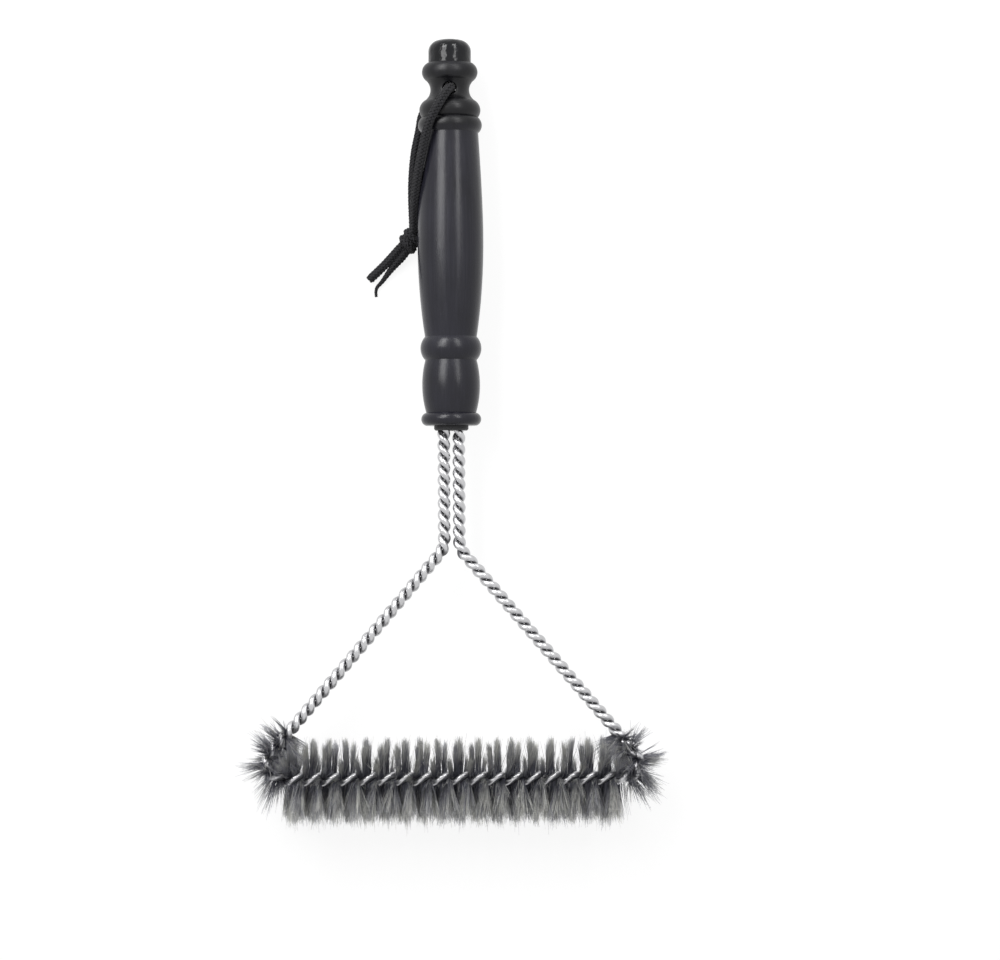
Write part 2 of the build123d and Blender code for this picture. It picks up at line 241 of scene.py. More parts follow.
class Finish:
    """A material being made: its nodes, and the shader that they feed."""

    def __init__(self, name, tree=None, shader="Principled BSDF"):
        self.material = None
        if tree is None:
            self.material = bpy.data.materials.new(name)
            self.material.use_nodes = True
            tree = self.material.node_tree
        self.tree = tree
        self.shader = tree.nodes[shader]

    def node(self, kind, settings=None, inputs=None, output=0):
        made = self.tree.nodes.new(kind)
        for key, value in (settings or {}).items():
            if key == "stops":
                set_stops(made.color_ramp, value)
            else:
                setattr(made, key, value)
        for key, value in (inputs or {}).items():
            self.feed(made.inputs[key], value)
        return Socket(self, made.outputs[output])

    def feed(self, target, value):
        if isinstance(value, Socket):
            self.tree.links.new(value.socket, target)
        else:
            target.default_value = value

    def surface(self, **values):
        """Feeds the surface shader: Base_Color is its socket Base Color."""
        for key, value in values.items():
            self.feed(self.shader.inputs[key.replace("_", " ")], value)
        return self.material

    def math(self, operation, *values):
        return self.node("ShaderNodeMath", {"operation": operation}, dict(enumerate(values)))

    def place(self, scale=(1.0, 1.0, 1.0)):
        """Object coordinates, stretched."""
        coordinates = self.node("ShaderNodeTexCoord", output="Object")
        return self.node("ShaderNodeMapping", inputs={"Vector": coordinates, "Scale": scale})

    def noise(self, scale, detail=2.0, vector=None):
        """Noise with about this many specks in a metre, where no other vector is given."""
        inputs = {"Vector": vector or self.place(), "Scale": scale, "Detail": detail}
        return self.node("ShaderNodeTexNoise", inputs=inputs, output="Fac")

    def tone(self):
        """The tone that each tube of a piece carries."""
        return self.node("ShaderNodeAttribute", {"attribute_name": "tone"}, output="Fac")

    def unwrapped(self):
        """The tubes' own map: U along and V round."""
        return self.node("ShaderNodeUVMap", {"uv_map": "UVMap"})

    def ramp(self, value, *stops):
        """Colours along a value, given as (place, colour) pairs."""
        return self.node("ShaderNodeValToRGB", {"stops": stops}, {"Fac": value}, "Color")

    def fade(self, value, low, high, start=0.0, end=1.0):
        """A number that runs smoothly from start to end while the value runs from low to high."""
        return self.node(
            "ShaderNodeMapRange",
            {"interpolation_type": "SMOOTHSTEP"},
            {"Value": value, "From Min": low, "From Max": high, "To Min": start, "To Max": end},
        )

    def blend(self, factor, first, second):
        """A colour between two colours."""
        inputs = {MIX_FACTOR: factor, MIX_FIRST_COLOUR: first, MIX_SECOND_COLOUR: second}
        return self.node("ShaderNodeMix", {"data_type": "RGBA"}, inputs, MIX_COLOUR)

    def parts(self, vector):
        """X, Y and Z of a vector."""
        x = self.node("ShaderNodeSeparateXYZ", inputs={"Vector": vector}, output="X")
        return x, x.beside("Y"), x.beside("Z")

    def bump(self, height, distance, strength=1.0):
        inputs = {"Height": height, "Distance": distance, "Strength": strength}
        return self.node("ShaderNodeBump", inputs=inputs)


def set_stops(ramp, stops):
    while len(ramp.elements) < len(stops):
        ramp.elements.new(1.0)
    for element, (place, colour) in zip(ramp.elements, stops):
        element.position = place
        element.color = opaque(colour)


def opaque(colour):
    return (*tuple(colour)[:3], 1.0)


def shade(colour, factor):
    """A lighter or darker version of a colour."""
    return opaque([channel * factor for channel in tuple(colour)[:3]])


def seen_ray(finish):
    """1 where the camera, a reflection or glass looks at the surface, and 0 where it only lights others."""
    camera = finish.node("ShaderNodeLightPath", output="Is Camera Ray")
    reflected = camera.math("MAXIMUM", camera.beside("Is Glossy Ray"))
    return reflected.math("MAXIMUM", camera.beside("Is Transmission Ray"))


# ---------------------------------------------------------------------------------------------------------
# Shape helpers
# ---------------------------------------------------------------------------------------------------------


def smooth_route(points, resolution=24):
    """Points along the smooth line that has the route's points as its control points."""
    data = bpy.data.curves.new("route", "CURVE")
    data.dimensions = "3D"
    spline = data.splines.new("NURBS")
    spline.points.add(len(points) - 1)
    for point, place in zip(spline.points, points):
        point.co = (*place, 1.0)
    spline.order_u = 3
    spline.use_endpoint_u = True
    spline.resolution_u = resolution
    holder = bpy.data.objects.new("route", data)
    mesh = bpy.data.meshes.new_from_object(holder)
    line = [vertex.co.copy() for vertex in mesh.vertices]
    bpy.data.meshes.remove(mesh)
    bpy.data.curves.remove(data)
    return line


def line_length(line):
    return sum((end - start).length for start, end in zip(line, line[1:]))


def stations(line, step):
    """(distance, place, direction) at even steps along a line."""
    found = []
    walked = 0.0
    due = 0.0
    for start, end in zip(line, line[1:]):
        run = (end - start).length
        while due <= walked + run and run > 0:
            found.append((due, start.lerp(end, (due - walked) / run), (end - start) / run))
            due += step
        walked += run
    return found


def carried_sides(directions):
    """A side for each direction, carried along the line without twisting about it."""
    side = directions[0].orthogonal().normalized()
    sides = []
    for direction in directions:
        side = (side - direction * side.dot(direction)).normalized()
        sides.append(side)
    return sides


def tubes(name, lines, diameter, resolution, tones):
    """One mesh of round tubes along lines of (place, width share) points, with a tone for each tube.

    U runs along each tube and V round it.
    """
    data = bpy.data.curves.new(name, "CURVE")
    data.dimensions = "3D"
    data.bevel_depth = diameter / 2
    data.bevel_resolution = resolution
    data.use_fill_caps = True
    for line in lines:
        spline = data.splines.new("POLY")
        spline.points.add(len(line) - 1)
        for point, (place, share) in zip(spline.points, line):
            point.co = (*place, 1.0)
            point.radius = share
    holder = bpy.data.objects.new(name, data)
    mesh = bpy.data.meshes.new_from_object(holder)
    bpy.data.objects.remove(holder)
    bpy.data.curves.remove(data)
    mesh.name = name
    mesh.materials.clear()
    vertices_each = len(mesh.vertices) // len(lines)
    attribute = mesh.attributes.new("tone", "FLOAT", "POINT")
    attribute.data.foreach_set("value", [tone for tone in tones for _ in range(vertices_each)])
    made = bpy.data.objects.new(name, mesh)
    bpy.context.scene.collection.objects.link(made)
    return made


def put_on(piece, material, nodes):
    """Gives a new piece its material, its body and the nodes that it stands for."""
    piece.data.materials.append(material)
    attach(piece, BODY)
    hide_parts(*nodes)


def repaint(node, material):
    """Gives a node of the frame a better material."""
    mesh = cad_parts[node].data
    mesh.materials.clear()
    mesh.materials.append(material)


# ---------------------------------------------------------------------------------------------------------
# Braid
# ---------------------------------------------------------------------------------------------------------


def braid(name, line, sizes, width_at, seed):
    """A round braid along a line: two sets of threads that cross over and under each other, round a core."""
    draws = random.Random(seed)
    steps = stations(line, sizes.braid_bump / POINTS_PER_BUMP)
    sides = carried_sides([direction for _, _, direction in steps])
    core = [(place, width_at(distance)) for distance, place, _ in steps[::2]]
    winding = sizes.cord_diameter / 2 - sizes.thread_diameter / 2
    weave = sizes.thread_diameter * WEAVE_DEPTH
    pitch = sizes.braid_bump * sizes.threads_each_way
    threads = []
    tones = []
    for hand in (1, -1):
        for number in range(sizes.threads_each_way):
            start = math.tau * (number + SET_OFFSET * (hand > 0)) / sizes.threads_each_way
            thread = []
            for (distance, place, direction), side in zip(steps, sides):
                turn = start + hand * math.tau * distance / pitch
                lift = hand * weave * math.cos(math.tau * distance / sizes.braid_bump)
                share = width_at(distance)
                out = Matrix.Rotation(turn, 3, direction) @ side
                thread.append((place + out * (winding + lift) * share, share))
            threads.append(thread)
            tones.append(draws.uniform(*THREAD_TONES))
    made = tubes(name, threads, sizes.thread_diameter, resolution=1, tones=tones)
    join(made, tubes(name + "_core", [core], winding * CORE_WIDTH, resolution=2, tones=[CORE_TONE]))
    return made


def join(target, other):
    """Adds another new piece's mesh to the target's, and removes that piece."""
    shapes = bmesh.new()
    shapes.from_mesh(target.data)
    shapes.from_mesh(other.data)
    bpy.data.objects.remove(other)
    shapes.to_mesh(target.data)
    shapes.free()


# ---------------------------------------------------------------------------------------------------------
# Wire core and bristles
# ---------------------------------------------------------------------------------------------------------

# Pieces that the straight head's filaments are made as
HEAD_PIECES = 4

# One filament
FILAMENT_SHAPE = ((0.0, 1.0), (0.55, 1.0), (1.0, 0.35))  # share of the way along, and of the width there
STRAIGHT_SHARE = 0.2  # of its length, before it bends
LONGEST_FILAMENT = 1.01  # share of its lock's length
FILAMENT_TONE_SPREAD = 0.26
DARKEST_FILAMENT = 0.2
RISE_ALLOWED = 0.0006  # above the solids

# The forward sweep of filaments above and below the core: they stay upright where their direction's Y is
# over the first number, and follow in full where it is lower by the second
SWEEP_ABOVE = (0.35, 0.35)
SWEEP_BELOW = (0.85, 0.5)
SWEEP_STEEPNESS = 1.5  # power of the direction's Z, because flat filaments are swept less

# One lock of filaments
SWEEP_TAKEN = (0.4, 1.0)  # share of the sweep
LENGTH_KEPT = (0.94, 1.0)  # share of its length
LOCK_TONE_SPREAD = 0.28
FRINGE_TONE_SPREAD = 0.16  # where it points away from the handle
DARKEST_LOCK = 0.3

# Locks of the straight head: the shortest filament's share of the longest, and the tone
FRINGE_LOCK = (0.75, 1.0)
# The upper locks' lower tone is painted shade on the side of the head towards the handle
UPPER_LOCK = (0.8, 0.65)
LOCK_UNEVENNESS = 0.05  # of their places, as a share of a tuft

# Locks round a corner
CORNER_SHORTEST = 0.55  # the shortest filament's share of the longest
CORNER_LENGTHS = (0.6, 1.12, 1.05)  # least, greatest and usual
CORNER_TONE = 0.66
CORNER_SHADE = 0.22  # how much darker they are on top and inside
CORNER_GAPS = (0.6, 1.4)  # least and greatest share of the mean
CORNER_UNEVENNESS = 0.1  # of their angle round the core
CORNER_LEAN = 0.4  # share of the corner's own lean
CORNER_TOP_LEAN = 2.0  # more than that, straight above the core
CORNER_OUTSIDE = 0.6  # how far a lock points outwards to be thinned

# Tufts that stand out from the right corner, whose outside is nearly bare otherwise: distance past the
# straight head, half length, heading, spread of the heading, and locks
RIGHT_TUFTS = (
    (0.0048, 0.0030, math.radians(-44.0), math.radians(12.0), 34),
    (0.0104, 0.0012, math.radians(7.0), math.radians(5.0), 30),
    (0.0165, 0.0005, math.radians(42.0), math.radians(8.0), 7),
)
BARE_SHARE = 0.93  # locks left out between the tufts
TUFT_LENGTHS = (0.7, 1.1, 1.05)  # least, greatest and usual
TUFT_TONE = 0.6
TUFT_RISE_SPREAD = 0.15


def rope_at(distance):
    """Centre and outward side of the core's right half, in the core's own plane."""
    turn = min(max(distance - HEAD_STRAIGHT, 0.0) / CORNER_BEND, CORNER_TURN)
    along = Vector((math.cos(turn), math.sin(turn), 0.0))
    if distance < HEAD_STRAIGHT:
        centre = Vector((distance, 0.0, 0.0))
    else:
        arc = Vector((math.sin(turn), 1 - math.cos(turn), 0.0)) * CORNER_BEND
        beyond = distance - HEAD_STRAIGHT - turn * CORNER_BEND
        centre = Vector((HEAD_STRAIGHT, 0.0, 0.0)) + arc + along * beyond
    return centre, Vector((along.y, -along.x, 0.0))


def twist_table(reach):
    """(distance, angle turned) along the right half of the core, as far as the reach."""
    table = [(0.0, 0.0)]
    distance = HEAD_PITCH / STRAND_CORNERS / 2
    turned = math.pi / STRAND_CORNERS
    while table[-1][0] < reach:
        table.append((distance, turned))
        blend = min(max((distance - HEAD_STRAIGHT) / PITCH_BLEND, 0.0), 1.0)
        distance += (HEAD_PITCH + (STEM_PITCH - HEAD_PITCH) * blend) / STRAND_CORNERS
        turned += math.tau / STRAND_CORNERS
    return table


def turned_at(table, distance):
    """Angle turned at a distance, read from the twist table."""
    for (near, start), (far, end) in zip(table, table[1:]):
        if distance <= far:
            return start + (end - start) * (distance - near) / (far - near)
    return table[-1][1]


def swept_share(direction):
    """How far a filament follows the sweep: those that point to the handle stay upright."""
    start, run = SWEEP_ABOVE if direction.z > 0 else SWEEP_BELOW
    return min(max((start - direction.y) / run, 0.0), 1.0)


class Bristles:
    """Filaments being gathered for one piece: a line of (place, width share) points and a tone for each."""

    def __init__(self, sizes, seed, hand=1):
        self.sizes = sizes
        self.draws = random.Random(seed)
        self.hand = hand
        self.lines = []
        self.tones = []

    def scatter(self, spread):
        return Vector([self.draws.gauss(0.0, spread) for _ in range(3)])

    def lock(self, root, tip, filaments, comb, shortest, tone):
        """Filaments that start together, lean together and end in a ragged point."""
        sizes = self.sizes
        draws = self.draws
        fringe = tip.y < root.y
        spread = sizes.fringe_spread if fringe else sizes.lock_spread
        tone_spread = FRINGE_TONE_SPREAD if fringe else LOCK_TONE_SPREAD
        sweep = 0.0 if draws.random() < sizes.upright_share else comb * draws.uniform(*SWEEP_TAKEN)
        drift = draws.gauss(0.0, sizes.drift)
        lock_tone = max(DARKEST_LOCK, draws.gauss(tone, tone_spread))
        lock_length = draws.uniform(*LENGTH_KEPT)
        for _ in range(filaments):
            loose = sizes.stray_spread if draws.random() < sizes.stray_share else spread
            start = root + self.scatter(sizes.lock_root)
            reached = tip + self.scatter(loose)
            length = (reached - start).length * lock_length * draws.uniform(shortest, LONGEST_FILAMENT)
            direction = (reached - start).normalized()
            raised = swept_share(direction) * abs(direction.z) ** SWEEP_STEEPNESS
            combed = (direction - Vector((drift * sweep * raised, sweep * raised, 0.0))).normalized()
            free_share = 1 - STRAIGHT_SHARE + STRAIGHT_SHARE * min(sweep * raised, 1.0)
            bend = start + direction * length * STRAIGHT_SHARE
            end = bend + combed * length * free_share
            line = [(self.laid(start, bend, end, share), width) for share, width in FILAMENT_SHAPE]
            self.lines.append(line)
            glint = sizes.glint if draws.random() < sizes.glint_share else 0.0
            filament_tone = lock_tone * draws.gauss(1.0, FILAMENT_TONE_SPREAD)
            self.tones.append(max(DARKEST_FILAMENT, filament_tone) + glint)

    def laid(self, start, bend, end, share):
        """Point of a filament that leaves its start towards the bend, with the brush laid down."""
        place = start.lerp(bend, share).lerp(bend.lerp(end, share), share)
        laid = LYING @ Vector((self.hand * place.x, place.y, place.z))
        laid.z = min(max(laid.z, self.sizes.bristle_diameter / 2), head_high.z + RISE_ALLOWED)
        return laid

    def piece(self, name, material, node):
        made = tubes(name, self.lines, self.sizes.bristle_diameter, resolution=0, tones=self.tones)
        put_on(made, material, (node,))


def head_bristles(sizes, low, high, seed):
    """Both ends of each tuft in one stretch of the straight head, as locks side by side along the twist."""
    bristles = Bristles(sizes, seed)
    draws = bristles.draws
    room = HEAD_STRAIGHT - HEAD_END_GAP - HEAD_TUFT_SPACING
    first = math.ceil(-(room + TUFT_OFFSET) / HEAD_TUFT_SPACING)
    last = math.floor((room - TUFT_OFFSET) / HEAD_TUFT_SPACING)
    for number in range(first, last + 1):
        middle = TUFT_OFFSET + number * HEAD_TUFT_SPACING
        if not low <= middle < high:
            continue
        turned = -math.tau * number / HEAD_TUFTS_PER_TURN
        slant = math.tan(HEAD_TUFT_SLANT * math.sin(HEAD_SLANT_STEP * number))
        for side in (1, -1):
            for count in range(sizes.locks_per_tuft):
                share = (count + 0.5) / sizes.locks_per_tuft - 0.5 + draws.gauss(0.0, LOCK_UNEVENNESS)
                root_turn = turned - share * math.tau / HEAD_TUFTS_PER_TURN
                tip_turn = turned - share * HEAD_TUFT_TIP_LENGTH / BRISTLE_REACH
                root_out = Vector((0.0, math.cos(root_turn), math.sin(root_turn))) * side
                tip_out = Vector((0.0, math.cos(tip_turn), math.sin(tip_turn))) * side
                root = Vector((middle + share * HEAD_TUFT_SPACING, 0.0, 0.0)) + root_out * sizes.bristle_root
                thickness = draws.uniform(-0.5, 0.5) * HEAD_TUFT_TIP_THICKNESS
                tip = Vector((middle - side * slant * BRISTLE_REACH + thickness, 0.0, 0.0))
                tip += tip_out * sizes.bristle_reach
                shortest, tone = FRINGE_LOCK if tip.y < root.y else UPPER_LOCK
                bristles.lock(root, tip, sizes.filaments_per_lock, sizes.comb_head, shortest, tone)
    return bristles


def tuft_bristles(bristles, past, half_length, heading, spread, locks):
    """Locks that stand out sideways from a corner, as one tuft."""
    sizes = bristles.sizes
    draws = bristles.draws
    for _ in range(locks):
        centre, _ = rope_at(HEAD_STRAIGHT + past + draws.uniform(-half_length, half_length))
        turn = heading + draws.gauss(0.0, spread)
        out = Vector((math.cos(turn), math.sin(turn), draws.gauss(0.0, TUFT_RISE_SPREAD))).normalized()
        tip = centre + out * corner_reach(sizes, out) * draws.triangular(*TUFT_LENGTHS)
        root = centre + out * sizes.bristle_root
        bristles.lock(root, tip, sizes.filaments_per_corner_lock, 0.0, CORNER_SHORTEST, TUFT_TONE)


def corner_reach(sizes, out):
    """Length of the filaments that point this way from a corner."""
    return sizes.bristle_reach + (CORNER_REACH - sizes.bristle_reach) * min(1.0 + out.y, 1.0)


def corner_bristles(sizes, hand, lean, seed, tufts=()):
    """Thin locks round one corner and up the foot of its arm, which turn with the twist."""
    bristles = Bristles(sizes, seed, hand)
    draws = bristles.draws
    last = HEAD_STRAIGHT + CORNER_BEND * CORNER_TURN + sizes.arm_length
    table = twist_table(last)
    strand_angle = math.pi / 2 - math.tau * TUFT_OFFSET / HEAD_PITCH
    thinned_share = BARE_SHARE if tufts else sizes.thinned_share
    filaments = sizes.filaments_per_corner_lock
    distance = HEAD_STRAIGHT - HEAD_TUFT_SPACING
    while distance < last:
        centre, side = rope_at(distance)
        turned = strand_angle + hand * turned_at(table, distance)
        for end in (1, -1):
            angle = turned + end * math.pi / 2 + draws.gauss(0.0, CORNER_UNEVENNESS)
            out = side * math.cos(angle) + UP * math.sin(angle)
            if out.dot(side) > CORNER_OUTSIDE and draws.random() < thinned_share:
                continue
            spread = lean * (CORNER_LEAN + CORNER_TOP_LEAN * max(out.z, 0.0) ** 2)
            leaning = (out + bristles.scatter(spread)).normalized()
            tip = centre + leaning * corner_reach(sizes, out) * draws.triangular(*CORNER_LENGTHS)
            root = centre + out * sizes.bristle_root
            tone = CORNER_TONE - CORNER_SHADE * max(out.z, -out.dot(side), 0.0)
            bristles.lock(root, tip, filaments, sizes.comb_corner, CORNER_SHORTEST, tone)
        distance += sizes.lock_spacing * draws.uniform(*CORNER_GAPS)
    for tuft in tufts:
        tuft_bristles(bristles, *tuft)
    return bristles


# ---------------------------------------------------------------------------------------------------------
# Finishes
# ---------------------------------------------------------------------------------------------------------


def plastic_finish(name, colour, roughness, far_roughness, grain, streaks, waves):
    """Moulded plastic with fine grain, drag marks along it, uneven sheen and a darker far end with its own
    roughness.
    """
    finish = Finish(name)
    patches = finish.noise(45.0, detail=3.0)
    drag = finish.noise(900.0, vector=finish.place(scale=(1.0, 0.03, 1.0)))
    pores = finish.noise(5200.0)
    sway = finish.noise(420.0)
    _, along, _ = finish.parts(finish.place())
    # the handle gets darker towards its far end, along Y
    grip_share = finish.fade(along, DARK_END_START, DARK_END_FULL, 1.0, 0.0)
    cloud = patches * 0.45 + drag * 0.25 + grip_share * 0.3
    tint = finish.ramp(
        cloud, (0.35, shade(colour, 0.2)), (0.62, shade(colour, 0.95)), (0.9, shade(colour, 1.7))
    )
    polish = far_roughness + grip_share * (roughness - far_roughness)
    sheen = polish + (patches - 0.5) * 0.12 + (drag - 0.5) * streaks * 0.25
    height = pores * grain + drag * streaks + sway * waves
    finish.surface(Base_Color=tint, Roughness=sheen, Normal=finish.bump(height, distance=0.00003))
    return finish.surface(Specular_IOR_Level=0.3)


def wire_finish(colours):
    """Bright drawn steel, with painted shade in the hollow between the strands."""
    finish = Finish("drawn_steel")
    turned = finish.node(
        "ShaderNodeMapping",
        {"vector_type": "TEXTURE"},
        {"Vector": finish.place(), "Location": tuple(HEAD_CENTRE), "Rotation": (-LIE_ANGLE, 0.0, 0.0)},
    )
    x, y, z = finish.parts(turned)
    width = abs(x)
    lift = z * z
    to_head = y * y + lift
    to_stem = (width - STEM_SPACING / 2) ** 2 + lift
    arm = Vector((math.sin(CORNER_TURN), -math.cos(CORNER_TURN)))
    to_arm = (width * arm.x + y * arm.y - HEAD_HALF_WIDTH * arm.x) ** 2 + lift
    nearest = finish.math("MINIMUM", finish.math("MINIMUM", to_head, to_stem), to_arm)
    depth = finish.fade(nearest ** 0.5, HOLLOW_RADIUS, CROWN_RADIUS)
    smears = finish.noise(700.0, detail=3.0)
    scratches = finish.noise(6500.0)
    unshaded_steel = finish.blend(smears, shade(colours.wire, 0.86), shade(colours.wire, 1.1))
    # painted shade: the strands darken towards the hollow between them, where shade falls
    tint = finish.blend(depth, opaque(colours.wire_painted_shade), unshaded_steel)
    rough = 0.24 + smears * 0.14 + (1 - depth) * 0.24
    normal = finish.bump(scratches, distance=0.00001, strength=0.3)
    return finish.surface(Base_Color=tint, Metallic=1.0, Roughness=rough, Normal=normal)


def bristle_finish(colours):
    """Fine steel filaments, darker near the core with painted shade between them, and paler at the tips,
    each a little different.
    """
    finish = Finish("bristle_steel")
    tone = finish.tone()
    along, _, _ = finish.parts(finish.unwrapped())
    mottle = finish.noise(260.0, detail=3.0)
    # painted shade: the filaments darken from their tips towards the core, where they shade each other
    tip = finish.fade(along + (mottle - 0.5) * 0.4, 0.35, 1.0)
    plain = finish.blend(tip, opaque(colours.bristle_root), opaque(colours.bristle_tip))
    # dark: the low-tone filaments, partly their own random tone and partly painted shade on top of and
    # inside the corners and on the upper locks, with bluish tips
    dark = finish.blend(tip, shade(colours.bristle_root, 0.4), opaque(colours.bristle_dim_and_shaded_tip))
    shaded = finish.blend(finish.fade(tone, 0.4, 1.2), dark, plain)
    tint = finish.blend(finish.fade(tone, 1.2, 2.2), shaded, opaque(colours.bristle_bright))
    return finish.surface(Base_Color=tint, Metallic=0.3, Roughness=0.42 + (mottle - 0.5) * 0.2)


def cord_finish(colours):
    """Black braided thread: fine fibres along each thread and a slightly dusty crown."""
    finish = Finish("braided_cord")
    along, around, _ = finish.parts(finish.unwrapped())
    fibres = (around * (math.tau * FIBRES_ROUND_THREAD) + along * FIBRE_LAY).math("SINE")
    fuzz = finish.noise(3800.0, detail=3.0)
    cloud = fuzz * 0.6 + finish.tone() * 0.3 + fibres * 0.08
    colour = colours.cord
    tint = finish.ramp(cloud, (0.35, shade(colour, 0.5)), (0.6, opaque(colour)), (0.95, shade(colour, 2.4)))
    normal = finish.bump(fuzz + fibres * 0.35, distance=0.00006)
    finish.surface(Base_Color=tint, Roughness=0.78, Normal=normal)
    return finish.surface(Sheen_Weight=0.04, Sheen_Roughness=0.5, Specular_IOR_Level=0.35)


# ---------------------------------------------------------------------------------------------------------
# Settings
# ---------------------------------------------------------------------------------------------------------


def length_setting(name, description, default):
    return bpy.props.FloatProperty(
        name=name, description=description, default=default, min=0.0, precision=5, unit="LENGTH"
    )


def share_setting(name, description, default):
    return bpy.props.FloatProperty(
        name=name, description=description, default=default, min=0.0, soft_max=2.0, precision=3,
        subtype="FACTOR",
    )


def count_setting(name, description, default):
    return bpy.props.IntProperty(name=name, description=description, default=default, min=1)


def colour_setting(name, description, default):
    return bpy.props.FloatVectorProperty(
        name=name, description=description, default=default, size=3, min=0.0, max=1.0, subtype="COLOR"
    )


class GrillBrushSizes(bpy.types.PropertyGroup):
    bristle_reach: length_setting("Bristle reach", "From the head's axis to the bristle tips", BRISTLE_REACH)
    bristle_diameter: length_setting("Bristle diameter", "Thickness of one filament at its root", 0.00015)
    bristle_root: length_setting("Bristle root", "From the core's centre line to the roots", 0.0004)
    locks_per_tuft: count_setting("Locks per tuft", "Locks side by side in one end of a head tuft", 10)
    filaments_per_lock: count_setting("Filaments per lock", "Filaments that lean together in the head", 16)
    filaments_per_corner_lock: count_setting("Filaments per corner lock", "As many at a corner", 7)
    lock_root: length_setting("Lock root", "Spread of a lock's filaments at their roots", 0.00012)
    lock_spread: length_setting("Lock spread", "Spread of a lock's filaments at their tips", 0.00052)
    fringe_spread: length_setting("Fringe spread", "As much, where they point away from the handle", 0.0012)
    drift: share_setting("Drift", "How far swept locks drift sideways", 0.14)
    thinned_share: share_setting("Thinned share", "Share of locks left out outside the left corner", 0.4)
    lock_spacing: length_setting("Lock spacing", "Mean distance between locks round a corner", 0.00012)
    stray_spread: length_setting("Stray spread", "Spread of the stray filaments' tips", 0.0016)
    stray_share: share_setting("Stray share", "Share of filaments that stray", 0.06)
    upright_share: share_setting("Upright share", "Share of locks that aren't swept forward", 0.2)
    comb_head: share_setting("Comb head", "How far the head's filaments are swept forward", 3.0)
    comb_corner: share_setting("Comb corner", "How far the corners' filaments are swept forward", 0.35)
    lean_right: share_setting("Lean right", "Spread of the right corner's locks", 0.22)
    lean_left: share_setting("Lean left", "Spread of the left corner's locks", 0.14)
    glint: share_setting("Glint", "Brightness added to a glinting filament's tone", 1.0)
    glint_share: share_setting("Glint share", "Share of filaments that glint", 0.09)
    arm_length: length_setting("Arm length", "Stretch of the arm that still carries bristles", 0.0105)
    cord_diameter: length_setting("Cord diameter", "Thickness of the lanyard", 0.0032)
    thread_diameter: length_setting("Thread diameter", "Thickness of one thread of the braid", 0.00102)
    braid_bump: length_setting("Braid bump", "Distance along the cord from bump to bump of a thread", 0.0014)
    threads_each_way: count_setting("Threads each way", "Threads of the braid that wind one way", 5)
    knot_winding: length_setting("Knot winding", "Radius of the knot's turns at the cord's middle", 0.0026)
    camera_height: length_setting("Camera height", "From the surface to the camera", 1.2)


class GrillBrushColours(bpy.types.PropertyGroup):
    handle: colour_setting("Handle", "Moulded plastic of the handle", (0.0106, 0.0104, 0.0154))
    cap: colour_setting("Cap", "Plastic of the end cap", (0.0050, 0.0055, 0.0092))
    plug: colour_setting("Plug", "Plastic of the plug in the mouth", (0.026, 0.026, 0.028))
    wire: colour_setting("Wire", "Bright steel of the core", (0.56, 0.56, 0.57))
    # Colour of the painted shade in the hollow between the strands
    wire_painted_shade: colour_setting("Wire hollow", "Grime between the strands", (0.17, 0.17, 0.18))
    # Colour near the core, darkened as painted shade between the filaments
    bristle_root: colour_setting("Bristle root", "Filaments near the core", (0.136, 0.139, 0.174))
    bristle_tip: colour_setting("Bristle tip", "Filaments at their tips", (0.58, 0.58, 0.535))
    # Tips of the darkest filaments: partly their own tone, partly painted shade
    bristle_dim_and_shaded_tip: colour_setting("Bristle dull", "Tips of the dullest filaments", (0.305, 0.308, 0.345))
    bristle_bright: colour_setting("Bristle bright", "The brightest filaments", (0.75, 0.75, 0.73))
    cord: colour_setting("Cord", "Thread of the lanyard", (0.0062, 0.0060, 0.0078))
    floor: colour_setting("Floor", "Surface that the brush lies on", (0.14, 0.14, 0.14))


class GrillBrush(bpy.types.PropertyGroup):
    sizes: bpy.props.PointerProperty(type=GrillBrushSizes)
    colours: bpy.props.PointerProperty(type=GrillBrushColours)


# ---------------------------------------------------------------------------------------------------------
# Operators
# ---------------------------------------------------------------------------------------------------------


class GRILLBRUSH_OT_camera(bpy.types.Operator):
    """Looks straight down on the brush through a long lens"""

    bl_idname = "grill_brush.camera"
    bl_label = "Camera"

    def execute(self, context):
        height = context.scene.grill_brush.sizes.camera_height
        data = bpy.data.cameras.new("camera")
        data.sensor_width = SENSOR_WIDTH
        data.lens = PIXELS_PER_METRE * SENSOR_WIDTH * (height - HEAD_CENTRE.z) / IMAGE_WIDTH
        data.clip_start = CLIP_START
        data.clip_end = CLIP_END
        camera = bpy.data.objects.new("camera", data)
        camera.location = (CAMERA_ACROSS, CAMERA_ALONG, height)
        camera.rotation_euler = (0.0, 0.0, CAMERA_TURN)
        context.scene.collection.objects.link(camera)
        context.scene.camera = camera
        return {"FINISHED"}


